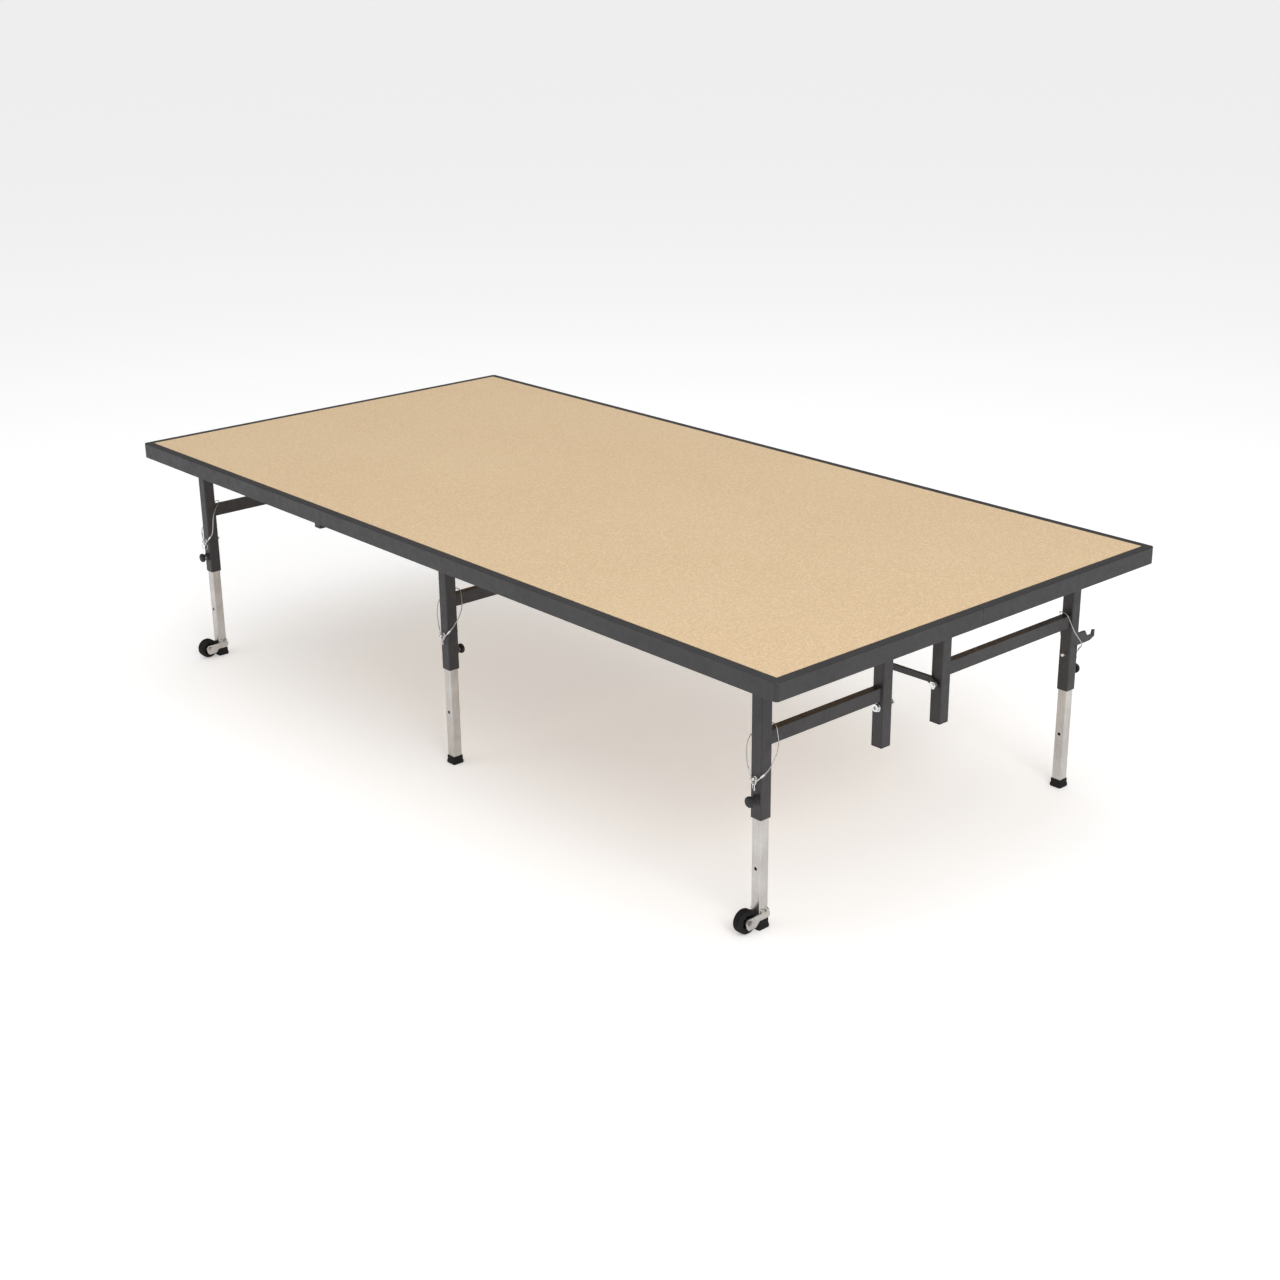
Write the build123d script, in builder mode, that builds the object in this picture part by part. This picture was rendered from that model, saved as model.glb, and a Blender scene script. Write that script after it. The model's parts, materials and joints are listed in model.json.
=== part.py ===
from build123d import *
import os
from math import asin, cos, pi, radians, sin, sqrt, tan

# Folding stage riser: a 4 ft by 8 ft deck on three pairs of folding H-frames with six telescoping
# legs. Millimetres. X runs along the long side, Y across it, Z up; the origin is on the floor under
# the middle of the deck. Each leg's own axes are x (away from the side it folds to), y (outward,
# towards its long rail) and z (up), with the origin on the floor under the leg's centre.

# Deck
LENGTH = 2438.4
WIDTH = 1219.2
HEIGHT = 609.6
RAIL_W = 20.0
RAIL_H = 40.0
RAIL_WALL = 2.0
RAIL_CORNER = 8.0
RAIL_EDGE = 2.0
RAIL_SEAM = 0.8
BOARD_GAP = 1.0
SURFACE_T = 3.0
CORE_T = 16.0
BEAM_H = 20.0
BEAM_WALL = 2.0
HINGE_BEAM_W = 60.0
JOIST_W = 22.0
JOISTS_X = (-765.0, -545.0, -290.0, 290.0, 545.0, 765.0)
SCREWS_Y = (-420.0, -200.0, 200.0, 420.0)
SCREW_R = 2.5
SCREW_FIT = 0.1
SCREW_DEPTH = 12.0
SCREW_HEAD_T = 2.5
BEAM_SHIFT = 10.0

# H-frames
TUBE = 30.0
TUBE_WALL = 2.0
TUBE_CORNER = 3.0
TUBE_TOP = 569.0
LEG_TUBE_BOTTOM = 250.0
STUB_BOTTOM = 303.0
CROSSBAR_T = 20.0
CROSSBAR_BOTTOM = 408.0
CROSSBAR_TOP = 438.0
NEAR_SPAN = 360.0
FAR_SPAN = 462.0
PLUG_FLANGE = 3.0
PLUG_DEPTH = 15.0
PLUG_FIT = 0.4
PLUG_EDGE = 1.0
PLUG_CORNER = 0.8

# Telescoping legs
INNER = 25.0
INNER_WALL = 2.0
INNER_BOTTOM = 5.0
INNER_TOP = 352.0
INNER_CORNER = 2.5
HEIGHT_STEP = 203.2
FOOT_TOP = 20.5
FOOT_TREAD = (30.0, 4.0)
FOOT_FLARE = (32.0, 5.0)
FOOT_SLEEVE = (29.0, 4.0)
FOOT_FLARE_Z = (2.0, 6.0)
FOOT_SLEEVE_Z = 12.0

# Lock pins and clamp knobs
PIN_Z = 340.0
PIN_R = 4.0
PIN_TIP = -25.0
PIN_FIT = 0.06
PIN_CHAMFER = 1.2
COLLAR_R = 5.6
COLLAR_T = 2.4
COLLAR_GAP = 0.4
COLLAR_EDGE = 0.7
EYE_R = 4.0
EYE_T = 5.0
EYE_HOLE_R = 2.1
EYE_U = 21.0
LINK_R = 6.0
LINK_WIRE_R = 1.0
RING_R = 8.25
RING_WIRE_R = 1.2
RING_RISE = 4.0
RING_TURN = 32.0
LOOP_R = 3.6
LOOP_WIRE_R = 0.7
LOOP_X = 6.34
LOOP_Z = 335.82
STEM_R = 1.7
FERRULE_R = 2.4
FERRULE_START = 16.0
FERRULE_END = 28.0
KNOB_Z = 293.0
KNOB_R = 12.0
STUD_R = 4.0
BOSS_R = 10.0
BOSS_T = 6.0
NECK_T = 6.5
KNOB_T = 10.0
NECK_R = 6.0
KNOB_EDGE = 3.0
TURN_GAP = 0.3
STUD_GAP = 0.2

# Fold hinges, which stand off the leg on the side that it folds to
HINGE_OUT = 22.0
HINGE_Z = 562.0
LUG_R = 7.0
LUG_HALF = 14.0
BOLT_R = 4.0
BOLT_FIT = 0.05
BOLT_HEX = 11.0
BOLT_HEAD_T = 4.0
BOLT_WASHER_T = 1.0
BOLT_END = 2.0
CLEVIS_GAP = 15.3
CLEVIS_T = 3.0
CLEVIS_R = 8.5
CLEVIS_REACH = 30.0

# Braces and the channel that their upper ends run in
BRACE_Z = 392.0
BRACE_BOLT_R = 5.0
BRACE_HEAD_R = 8.5
BRACE_HEAD_T = 6.0
BRACE_WASHER_R = 10.5
BRACE_WASHER_T = 2.0
BRACE_SOCKET = 8.0
BRACE_SOCKET_DEPTH = 4.0
BRACE_NUT = 16.0
BRACE_NUT_T = 7.0
BRACE_BOLT_END = 2.0
BRACE_T = 5.0
BRACE_W = 16.0
BRACE_GAP = 0.5
BRACE_STRAIGHT = 20.0
TRACK_PIN_Z = 559.0
TRACK_PIN_R = 4.0
TRACK_PIN_L = 28.0
ROLLER_R = 7.0
ROLLER_W = 8.0
ROLLER_Y = 9.5
TRACK_W = 34.0
TRACK_WALL = 2.0
TRACK_DEPTH = 20.0
TRACKS_X = ((534.0, 786.0), (-786.0, -256.0))

# Transport wheels
WHEEL_R = 26.0
WHEEL_W = 22.0
WHEEL_Z = 27.5
WHEEL_OUT = 41.5
AXLE_R = 3.0
AXLE_FIT = 0.06
FORK_T = 3.0
FORK_GAP = 0.1
FORK_OUTLINE = [
    (-15.5, 24.5),
    (-15.5, 38.0),
    (WHEEL_OUT + 6.5, 38.0),
    (WHEEL_OUT + 12.0, 31.5),
    (WHEEL_OUT + 10.0, 19.5),
    (WHEEL_OUT + 4.0, 12.0),
    (24.5, 12.5),
    (13.5, 23.8),
]
FORK_CORNER_R = 4.0
FORK_EAR_R = 5.0
FORK_BOLTS_Y = (-8.0, 5.0)
FORK_BOLT_Z = 41.5
FORK_BOLT_R = 3.6
FORK_BOLT_T = 2.4
TYRE_EDGE = 4.0
DISH_R = 17.0
DISH_DEPTH = 3.0
HUB_R = 7.0
AXLE_NUT = 10.0
AXLE_NUT_T = 5.0
AXLE_END = 1.5

# Coupling hook on the leg of one far corner: its outline as (distance outward, height)
HOOK_T = 5.0
HOOK_OUTLINE = [
    (15.0, 351.0),
    (78.0, 351.0),
    (96.0, 358.0),
    (96.0, 374.0),
    (89.0, 374.0),
    (87.0, 364.0),
    (69.0, 364.0),
    (59.0, 380.0),
    (15.0, 380.0),
]

# Wire-rope lanyards
ROPE_D = 2.4

# Stations: place along X, side that the set folds to (+1 folds towards -X), the leg's distance
# from the middle, whether the clamp knob is on the leg's inner face, and the brace's length
STATIONS = {
    "right": {"x": 1080.0, "fold": 1, "leg_y": 506.0, "knob_inside": False, "brace": 347.0},
    "mid": {"x": -15.0, "fold": 1, "leg_y": 470.0, "knob_inside": True, "brace": 300.0},
    "left": {"x": -1080.0, "fold": -1, "leg_y": 506.0, "knob_inside": False, "brace": 347.0},
}
SIDES = {"near": {"out": -1, "span": NEAR_SPAN}, "far": {"out": 1, "span": FAR_SPAN}}

BEAM_TOP = HEIGHT - SURFACE_T - CORE_T
BEAM_BOTTOM = BEAM_TOP - BEAM_H
TRACK_TOP = BEAM_BOTTOM
INSIDE_L = LENGTH - 2 * RAIL_W
INSIDE_W = WIDTH - 2 * RAIL_W
BRACE_Y = (NEAR_SPAN - FAR_SPAN) / 2
FACE = TUBE / 2

os.makedirs("parts", exist_ok=True)


def save(part, name):
    """Labels one piece and writes its file."""
    part.label = name
    export_step(part, f"parts/{name}.step")


def save_group(solids, name):
    """Writes several separate solids as one named piece."""
    save(Compound(label=name, children=list(solids)), name)


def at_leg(shape, station, side):
    """Turns a shape drawn in a leg's own axes to its fold side and its rail, and places it."""
    place = STATIONS[station]
    out = SIDES[side]["out"]
    turned = shape
    if place["fold"] < 0:
        turned = mirror(turned, about=Plane.YZ)
    if out < 0:
        turned = mirror(turned, about=Plane.XZ)
    return turned.moved(Location((place["x"], out * place["leg_y"], 0)))


def at_brace(shape, station):
    """Turns a shape drawn in a brace's own axes to its fold side, and places it."""
    place = STATIONS[station]
    turned = mirror(shape, about=Plane.YZ) if place["fold"] < 0 else shape
    return turned.moved(Location((place["x"], BRACE_Y, 0)))


def square_tube(x, y, bottom, top, size, wall, corner):
    """An upright square tube."""
    with BuildPart() as tube:
        with BuildSketch(Plane.XY.offset(bottom)):
            with Locations((x, y)):
                RectangleRounded(size, size, corner)
                RectangleRounded(size - 2 * wall, size - 2 * wall, corner - wall, mode=Mode.SUBTRACT)
        extrude(amount=top - bottom)
    return tube.part


def cross_hole(x, y, z, radius, length):
    """Drills a hole along Y through the open part."""
    with Locations((x, y, z)):
        Cylinder(radius, length, rotation=(90, 0, 0), mode=Mode.SUBTRACT)


# ---------------------------------------------------------------- deck


def deck_rail(side):
    """Half of the rim: box tube along one long side and half of both short sides."""
    with BuildPart() as rail:
        with BuildSketch(Plane.XY.offset(HEIGHT - RAIL_H)):
            RectangleRounded(LENGTH, WIDTH, RAIL_CORNER)
            Rectangle(INSIDE_L, INSIDE_W, mode=Mode.SUBTRACT)
        extrude(amount=RAIL_H)
        outer_top = rail.faces().sort_by(Axis.Z)[-1].outer_wire().edges()
        fillet(outer_top, RAIL_EDGE)
        with BuildSketch(Plane.XY.offset(HEIGHT - RAIL_H + RAIL_WALL)):
            RectangleRounded(LENGTH - 2 * RAIL_WALL, WIDTH - 2 * RAIL_WALL, RAIL_CORNER - RAIL_WALL)
            Rectangle(INSIDE_L + 2 * RAIL_WALL, INSIDE_W + 2 * RAIL_WALL, mode=Mode.SUBTRACT)
        extrude(amount=RAIL_H - 2 * RAIL_WALL, mode=Mode.SUBTRACT)
        with Locations((0, -side * (WIDTH / 2 - RAIL_SEAM / 2), HEIGHT)):
            Box(LENGTH + 10, WIDTH, 3 * RAIL_H, mode=Mode.SUBTRACT)
    return rail.part


save(deck_rail(-1), "near_rail")
save(deck_rail(1), "far_rail")

with BuildPart() as deck_surface:
    with BuildSketch(Plane.XY.offset(HEIGHT - SURFACE_T)):
        Rectangle(INSIDE_L - 2 * BOARD_GAP, INSIDE_W - 2 * BOARD_GAP)
    extrude(amount=SURFACE_T)
save(deck_surface.part, "deck_surface")

with BuildPart() as deck_core:
    with BuildSketch(Plane.XY.offset(BEAM_TOP)):
        Rectangle(INSIDE_L, INSIDE_W)
    extrude(amount=CORE_T)
    with Locations([(x, y, BEAM_TOP + SCREW_DEPTH / 2) for x in JOISTS_X for y in SCREWS_Y]):
        Cylinder(SCREW_R + SCREW_FIT, SCREW_DEPTH, mode=Mode.SUBTRACT)
save(deck_core.part, "deck_core")


def cross_tube(x, width, screws):
    """A box tube under the deck from rail to rail, with clear holes for its screws."""
    with BuildPart() as tube:
        with BuildSketch(Plane.XZ.offset(-INSIDE_W / 2)):
            with Locations((x, BEAM_TOP - BEAM_H / 2)):
                Rectangle(width, BEAM_H)
                Rectangle(width - 2 * BEAM_WALL, BEAM_H - 2 * BEAM_WALL, mode=Mode.SUBTRACT)
        extrude(amount=INSIDE_W)
        if screws:
            with Locations([(x, y, BEAM_TOP - BEAM_H / 2) for y in SCREWS_Y]):
                Cylinder(SCREW_R + SCREW_FIT, BEAM_H + 2, mode=Mode.SUBTRACT)
    return tube.part


def hinge_x(station):
    """X of a leg set's fold axis."""
    place = STATIONS[station]
    return place["x"] - place["fold"] * HINGE_OUT


def beam_x(station):
    """X of the beam that carries a leg set, which covers the hinge and the tube tops."""
    place = STATIONS[station]
    return place["x"] - place["fold"] * BEAM_SHIFT


save_group([cross_tube(beam_x(name), HINGE_BEAM_W, False) for name in STATIONS], "cross_beams")
save_group([cross_tube(x, JOIST_W, True) for x in JOISTS_X], "joists")


def deck_screw(x, y):
    """A pan-head screw up through a joist into the plywood."""
    with BuildPart() as screw:
        with BuildSketch(Plane.XY.offset(BEAM_BOTTOM)):
            with Locations((x, y)):
                Circle(SCREW_R)
        extrude(amount=BEAM_H + SCREW_DEPTH)
        with BuildSketch(Plane.XY.offset(BEAM_BOTTOM - SCREW_HEAD_T)):
            with Locations((x, y)):
                Circle(2 * SCREW_R)
        extrude(amount=SCREW_HEAD_T)
        fillet(screw.edges().filter_by(GeomType.CIRCLE).sort_by(Axis.Z)[0], 1.5)
    return screw.part


save_group([deck_screw(x, y) for x in JOISTS_X for y in SCREWS_Y], "deck_screws")


def track(x_low, x_high):
    """A channel, open below, welded under the joists for the pins of the braces."""
    with BuildPart() as channel:
        with BuildSketch(Plane.YZ.offset(x_low)):
            with Locations((BRACE_Y, TRACK_TOP - TRACK_DEPTH / 2)):
                Rectangle(TRACK_W, TRACK_DEPTH)
            with Locations((BRACE_Y, TRACK_TOP - TRACK_WALL - TRACK_DEPTH / 2)):
                Rectangle(TRACK_W - 2 * TRACK_WALL, TRACK_DEPTH, mode=Mode.SUBTRACT)
        extrude(amount=x_high - x_low)
    return channel.part


save_group([track(low, high) for low, high in TRACKS_X], "brace_tracks")

# ---------------------------------------------------------------- fold hinges


def hinge_places():
    """X and Y of every fold hinge: one over each outer leg tube and one over each stub tube."""
    for station, place in STATIONS.items():
        for side in SIDES.values():
            for inboard in (0, side["span"]):
                yield hinge_x(station), side["out"] * (place["leg_y"] - inboard), place["fold"]


def clevis(x, y, fold):
    """The two plates of one hinge, welded under a cross beam."""
    plates = []
    for out in (-1, 1):
        with BuildPart() as plate:
            with BuildSketch(Plane.XZ.offset(-y - out * (CLEVIS_GAP + CLEVIS_T / 2))):
                with Locations((x, HINGE_Z)):
                    Circle(CLEVIS_R)
                with BuildLine():
                    Polyline(
                        (x - fold * CLEVIS_R, HINGE_Z),
                        (x - fold * CLEVIS_R, BEAM_BOTTOM),
                        (x + fold * CLEVIS_REACH, BEAM_BOTTOM),
                        (x + fold * CLEVIS_R * 0.7, HINGE_Z - CLEVIS_R * 0.7),
                        close=True,
                    )
                make_face()
            extrude(amount=CLEVIS_T / 2, both=True)
            cross_hole(x, y, HINGE_Z, BOLT_R + BOLT_FIT, 4 * TUBE)
        plates.append(plate.part)
    return plates


save_group([plate for place in hinge_places() for plate in clevis(*place)], "hinge_brackets")


def pivot_bolt(x, y):
    """A fold hinge's bolt along Y, with a hexagon and a washer at both ends."""
    grip = CLEVIS_GAP + CLEVIS_T
    half = grip + BOLT_WASHER_T + BOLT_HEAD_T + BOLT_END
    with BuildPart() as bolt:
        with BuildSketch(Plane.XZ.offset(-y)):
            with Locations((x, HINGE_Z)):
                Circle(BOLT_R)
        extrude(amount=half, both=True)
        for out in (-1, 1):
            with BuildSketch(Plane.XZ.offset(-y - out * grip)):
                with Locations((x, HINGE_Z)):
                    Circle(BOLT_HEX * 0.62)
            extrude(amount=-out * BOLT_WASHER_T)
            with BuildSketch(Plane.XZ.offset(-y - out * (grip + BOLT_WASHER_T))):
                with Locations((x, HINGE_Z)):
                    RegularPolygon(BOLT_HEX / 2, 6, major_radius=False)
            extrude(amount=-out * BOLT_HEAD_T)
    return bolt.part


save_group([pivot_bolt(x, y) for x, y, _ in hinge_places()], "pivot_bolts")

# ---------------------------------------------------------------- H-frames


def hinge_lug(y):
    """The eye on the fold side of an upright tube."""
    with BuildPart() as lug:
        with BuildSketch(Plane.XZ.offset(-y)):
            with Locations((-HINGE_OUT, HINGE_Z)):
                Circle(LUG_R)
            with Locations((-(HINGE_OUT + FACE) / 2, HINGE_Z)):
                Rectangle(HINGE_OUT - FACE, 2 * LUG_R)
        extrude(amount=LUG_HALF, both=True)
        cross_hole(-HINGE_OUT, y, HINGE_Z, BOLT_R + BOLT_FIT, 2 * TUBE)
    return lug.part


def h_frame(span, knob_inside):
    """Outer leg tube, crossbar and short inner stub tube, welded, in the leg's own axes."""
    knob_side = -1 if knob_inside else 1
    with BuildPart() as frame:
        add(square_tube(0, 0, LEG_TUBE_BOTTOM, TUBE_TOP, TUBE, TUBE_WALL, TUBE_CORNER))
        add(square_tube(0, -span, STUB_BOTTOM, TUBE_TOP, TUBE, TUBE_WALL, TUBE_CORNER))
        with BuildSketch(Plane.XZ.offset(FACE)):
            with Locations((0, (CROSSBAR_TOP + CROSSBAR_BOTTOM) / 2)):
                Rectangle(CROSSBAR_T, CROSSBAR_TOP - CROSSBAR_BOTTOM)
                Rectangle(
                    CROSSBAR_T - 2 * TUBE_WALL,
                    CROSSBAR_TOP - CROSSBAR_BOTTOM - 2 * TUBE_WALL,
                    mode=Mode.SUBTRACT,
                )
        extrude(amount=span - TUBE)
        add(hinge_lug(0))
        add(hinge_lug(-span))
        with BuildSketch(Plane.XZ.offset(-knob_side * FACE)):
            with Locations((0, KNOB_Z)):
                Circle(BOSS_R)
        extrude(amount=-knob_side * BOSS_T)
        cross_hole(0, 0, PIN_Z, PIN_R + PIN_FIT, 2 * TUBE)
        cross_hole(0, knob_side * (FACE + 2), KNOB_Z, STUD_R + PIN_FIT, 20)
        cross_hole(0, -span, BRACE_Z, BRACE_BOLT_R + BOLT_FIT, 2 * TUBE)
    return frame.part


def stub_plug(span):
    """The moulded plug that closes the lower end of a stub tube."""
    inside = TUBE - 2 * TUBE_WALL - PLUG_FIT
    with BuildPart() as plug:
        with BuildSketch(Plane.XY.offset(STUB_BOTTOM - PLUG_FLANGE)):
            with Locations((0, -span)):
                RectangleRounded(TUBE, TUBE, TUBE_CORNER)
        extrude(amount=PLUG_FLANGE)
        fillet(plug.faces().sort_by(Axis.Z)[0].outer_wire().edges(), PLUG_EDGE)
        with BuildSketch(Plane.XY.offset(STUB_BOTTOM)):
            with Locations((0, -span)):
                RectangleRounded(inside, inside, PLUG_CORNER)
        extrude(amount=PLUG_DEPTH)
    return plug.part


def brace_bolt(span):
    """Socket-head bolt, washer and nut through a stub tube and the end of its brace bar."""
    washer_face = -span + FACE
    head_face = washer_face + BRACE_WASHER_T
    head_end = head_face + BRACE_HEAD_T
    nut_face = -span - FACE - BRACE_GAP - BRACE_T - BRACE_GAP
    with BuildPart() as bolt:
        with BuildSketch(Plane.XZ.offset(-washer_face)):
            with Locations((0, BRACE_Z)):
                Circle(BRACE_WASHER_R)
        extrude(amount=-BRACE_WASHER_T)
        with BuildSketch(Plane.XZ.offset(-head_face)):
            with Locations((0, BRACE_Z)):
                Circle(BRACE_HEAD_R)
        extrude(amount=-BRACE_HEAD_T)
        with BuildSketch(Plane.XZ.offset(-head_end)):
            with Locations((0, BRACE_Z)):
                RegularPolygon(BRACE_SOCKET / 2, 6, major_radius=False)
        extrude(amount=BRACE_SOCKET_DEPTH, mode=Mode.SUBTRACT)
        with BuildSketch(Plane.XZ.offset(-washer_face)):
            with Locations((0, BRACE_Z)):
                Circle(BRACE_BOLT_R)
        extrude(amount=washer_face - nut_face + BRACE_NUT_T + BRACE_BOLT_END)
        with BuildSketch(Plane.XZ.offset(-nut_face)):
            with Locations((0, BRACE_Z)):
                RegularPolygon(BRACE_NUT / 2, 6, major_radius=False)
        extrude(amount=BRACE_NUT_T)
    return bolt.part


for station, place in STATIONS.items():
    for side, where in SIDES.items():
        frame = h_frame(where["span"], place["knob_inside"])
        save(at_leg(frame, station, side), f"{station}_{side}_frame")
    plugs = [at_leg(stub_plug(where["span"]), station, side) for side, where in SIDES.items()]
    save_group(plugs, f"{station}_stub_plugs")
    bolts = [at_leg(brace_bolt(where["span"]), station, side) for side, where in SIDES.items()]
    save_group(bolts, f"{station}_brace_bolts")

with BuildPart() as hook:
    with BuildSketch(Plane.YZ):
        with BuildLine():
            Polyline(*HOOK_OUTLINE, close=True)
        make_face()
    extrude(amount=HOOK_T / 2, both=True)
save(at_leg(hook.part, "right", "far"), "coupling_hook")

# ---------------------------------------------------------------- braces


def brace(station):
    """Two bent flat bars that meet and run side by side up to the pin in the channel."""
    place = STATIONS[station]
    length = place["brace"]
    rise = asin((TRACK_PIN_Z - BRACE_Z) / length)
    half_gap = place["leg_y"] - (NEAR_SPAN + FAR_SPAN) / 2 - FACE
    start = half_gap - BRACE_GAP
    bend_end = BRACE_STRAIGHT + (start - BRACE_T)
    along = Plane(origin=(0, 0, BRACE_Z), x_dir=(-cos(rise), 0, sin(rise)), z_dir=(sin(rise), 0, cos(rise)))
    bars = []
    for out in (-1, 1):
        with BuildPart() as bar:
            with BuildSketch(along):
                with BuildLine():
                    inner = [
                        (-BRACE_W / 2, out * (start - BRACE_T)),
                        (BRACE_STRAIGHT - 2, out * (start - BRACE_T)),
                        (bend_end - 2, 0),
                        (length + BRACE_W / 2, 0),
                    ]
                    outer = [
                        (length + BRACE_W / 2, out * BRACE_T),
                        (bend_end, out * BRACE_T),
                        (BRACE_STRAIGHT, out * start),
                        (-BRACE_W / 2, out * start),
                    ]
                    Polyline(*inner, *outer, close=True)
                make_face()
            extrude(amount=BRACE_W / 2, both=True)
            ends = bar.edges().filter_by(lambda e: abs(e.tangent_at(0.5).Y) > 0.99)
            ends = ends.filter_by(lambda e: abs(e.length - BRACE_T) < 0.01)
            fillet(ends, BRACE_W / 2 - 0.5)
            with Locations(Plane(origin=along.from_local_coords((0, 0, 0)), z_dir=(0, 1, 0))):
                Cylinder(BRACE_BOLT_R + BOLT_FIT, 4 * half_gap, mode=Mode.SUBTRACT)
            with Locations(Plane(origin=along.from_local_coords((length, 0, 0)), z_dir=(0, 1, 0))):
                Cylinder(TRACK_PIN_R + BOLT_FIT, 4 * half_gap, mode=Mode.SUBTRACT)
        bars.append(at_brace(bar.part, station))
    return bars


def track_pin(station):
    """The rivet through the upper ends of the bars, with a roller each side in the channel."""
    place = STATIONS[station]
    length = place["brace"]
    reach = sqrt(length**2 - (TRACK_PIN_Z - BRACE_Z) ** 2)
    with BuildPart() as pin:
        with Locations(Plane(origin=(-reach, 0, TRACK_PIN_Z), z_dir=(0, 1, 0))):
            Cylinder(TRACK_PIN_R, TRACK_PIN_L)
        for out in (-1, 1):
            with Locations(Plane(origin=(-reach, out * ROLLER_Y, TRACK_PIN_Z), z_dir=(0, 1, 0))):
                Cylinder(ROLLER_R, ROLLER_W)
    return at_brace(pin.part, station)


for station in STATIONS:
    save_group([*brace(station), track_pin(station)], f"{station}_brace")

# ---------------------------------------------------------------- telescoping legs


def inner_leg():
    """Plated square tube that slides in the outer leg tube, with its two locking holes."""
    with BuildPart() as leg:
        add(square_tube(0, 0, INNER_BOTTOM, INNER_TOP, INNER, INNER_WALL, INNER_CORNER))
        for z in (PIN_Z, PIN_Z - HEIGHT_STEP):
            cross_hole(0, 0, z, PIN_R + PIN_FIT, 2 * INNER)
    return leg.part


def foot():
    """Rubber foot moulded round the end of the inner leg, flared to its tread."""
    with BuildPart() as rubber:
        flare_low, flare_high = FOOT_FLARE_Z
        outline = [
            (0, FOOT_TREAD),
            (flare_low, FOOT_FLARE),
            (flare_high, FOOT_FLARE),
            (FOOT_SLEEVE_Z, FOOT_SLEEVE),
            (FOOT_TOP, FOOT_SLEEVE),
        ]
        for (low, low_size), (high, high_size) in zip(outline, outline[1:]):
            for z, (size, corner) in ((low, low_size), (high, high_size)):
                with BuildSketch(Plane.XY.offset(z)):
                    RectangleRounded(size, size, corner)
            loft()
        with BuildSketch(Plane.XY.offset(INNER_BOTTOM)):
            RectangleRounded(INNER, INNER, INNER_CORNER)
        extrude(amount=FOOT_TOP, mode=Mode.SUBTRACT)
    return rubber.part


def ferrule_run(side):
    """Direction of one lanyard end as it leaves the ring, and a function for points along it."""
    along = Vector(side * 0.62, -0.26, 0.74).normalized()
    start = Vector(side * LOOP_X, EYE_U, LOOP_Z)
    return along, lambda distance: start + along * distance


def ferrule(side):
    """Wire loop on the link, its doubled stem and the swaged ferrule, as one crimped piece."""
    along, at = ferrule_run(side)
    wire = Vector(LOOP_Z - PIN_Z + LINK_R, 0, -side * LOOP_X)
    axis = along.cross(wire.cross(along)).normalized()
    with BuildPart() as piece:
        with Locations(Plane(origin=at(0), z_dir=axis)):
            Torus(LOOP_R, LOOP_WIRE_R)
        for start, end, radius in (
            (LOOP_R, FERRULE_START, STEM_R),
            (FERRULE_START, FERRULE_END, FERRULE_R),
        ):
            with BuildSketch(Plane(origin=at(start), z_dir=along)):
                Circle(radius)
            extrude(amount=end - start)
    return piece.part


def lock_pin():
    """Pin, link, pull ring and the lanyard's two ferrules on the link, as five solids."""
    with BuildPart() as pin:
        with BuildSketch(Plane.XZ.offset(-PIN_TIP)):
            with Locations((0, PIN_Z)):
                Circle(PIN_R)
        extrude(amount=PIN_TIP - FACE - COLLAR_GAP)
        chamfer(pin.edges().filter_by(GeomType.CIRCLE).sort_by(Axis.Y)[0], PIN_CHAMFER)
        with BuildSketch(Plane.XZ.offset(-FACE - COLLAR_GAP)):
            with Locations((0, PIN_Z)):
                Circle(COLLAR_R)
        extrude(amount=-COLLAR_T)
        fillet(pin.edges().filter_by(GeomType.CIRCLE).sort_by(Axis.Y)[-1], COLLAR_EDGE)
        with BuildSketch(Plane.YZ):
            with Locations((EYE_U - EYE_R / 2, PIN_Z)):
                Rectangle(EYE_R, 2 * EYE_R)
            with Locations((EYE_U, PIN_Z)):
                Circle(EYE_R)
        extrude(amount=EYE_T / 2, both=True)
        with Locations(Plane(origin=(0, EYE_U, PIN_Z), z_dir=(1, 0, 0))):
            Cylinder(EYE_HOLE_R, 2 * EYE_T, mode=Mode.SUBTRACT)
    with BuildPart() as link:
        with Locations(Plane(origin=(0, EYE_U, PIN_Z - LINK_R), z_dir=(0, 1, 0))):
            Torus(LINK_R, LINK_WIRE_R)
    turn = radians(RING_TURN)
    ring_z = PIN_Z - 2 * LINK_R + RING_RISE - RING_R
    with BuildPart() as ring:
        with Locations(Plane(origin=(0, EYE_U, ring_z), z_dir=(-sin(turn), cos(turn), 0))):
            Torus(RING_R, RING_WIRE_R)
    return [pin.part, link.part, ring.part, ferrule(-1), ferrule(1)]


def clamp_knob(knob_inside):
    """Round knob, plated neck and stud, turning in the boss on the outer leg tube."""
    side = -1 if knob_inside else 1
    stud_end = INNER / 2 + STUD_GAP
    neck_face = FACE + BOSS_T + TURN_GAP
    grip_face = FACE + BOSS_T + NECK_T
    with BuildPart() as knob:
        for start, end, radius in (
            (stud_end, neck_face, STUD_R),
            (neck_face, grip_face, NECK_R),
            (grip_face, grip_face + KNOB_T, KNOB_R),
        ):
            with BuildSketch(Plane.XZ.offset(-side * start)):
                with Locations((0, KNOB_Z)):
                    Circle(radius)
            extrude(amount=-side * (end - start))
        rims = knob.edges().filter_by(GeomType.CIRCLE).filter_by(lambda e: abs(e.radius - KNOB_R) < 0.01)
        fillet(rims, KNOB_EDGE)
    return knob.part


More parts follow.
